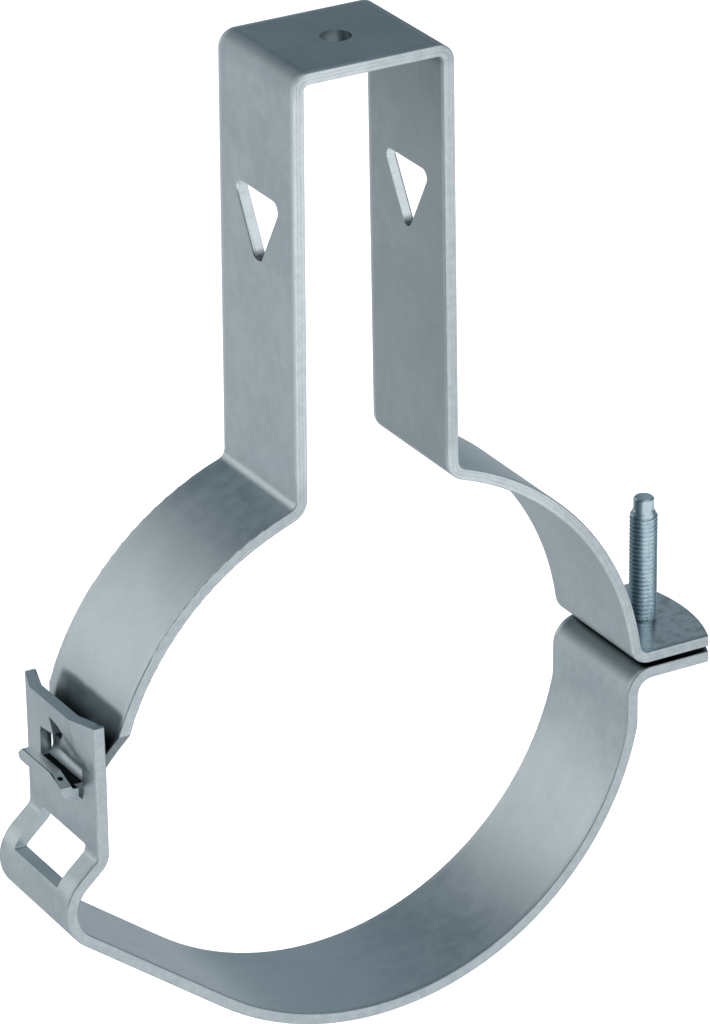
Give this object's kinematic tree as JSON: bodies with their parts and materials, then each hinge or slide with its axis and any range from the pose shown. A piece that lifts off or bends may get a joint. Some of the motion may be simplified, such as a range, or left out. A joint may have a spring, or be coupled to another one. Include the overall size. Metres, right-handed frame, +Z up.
{
  "type": "pipe bracket",
  "caption": "Hanging bracket for a large round pipe: a saddle with two legs and a split ring of flat strip, hooked together on one side and drawn up by a screw on the other.",
  "frame": {"origin": "centre of the mounting hole in the top face of the saddle", "axes": "+Z up out of the top face, +Y along the pipe, +X towards the screw ears"},
  "size_m": [0.2043, 0.04, 0.2793],
  "materials": {
    "strip": "zinc-plated strip, satin",
    "screw": "bright zinc-plated"
  },
  "bodies": {
    "saddle": {"upper_band": "strip"},
    "strap": {"lower_band": "strip"},
    "screw": {"clamp_screw": "screw"}
  },
  "joints": [
    {"name": "strap_hinge", "type": "hinge", "parent": "saddle", "child": "strap", "pos_m": [-0.0838, 0, -0.1895], "axis": [0, 1, 0], "range_deg": [0, 5]},
    {"name": "screw_travel", "type": "slide", "parent": "saddle", "child": "screw", "axis": [0, 0, -1], "range_m": [0, 0.0166]}
  ],
  "couplings": [
    {"joint": "screw_travel", "follows": "strap_hinge", "m_per_rad": 0.19}
  ]
}
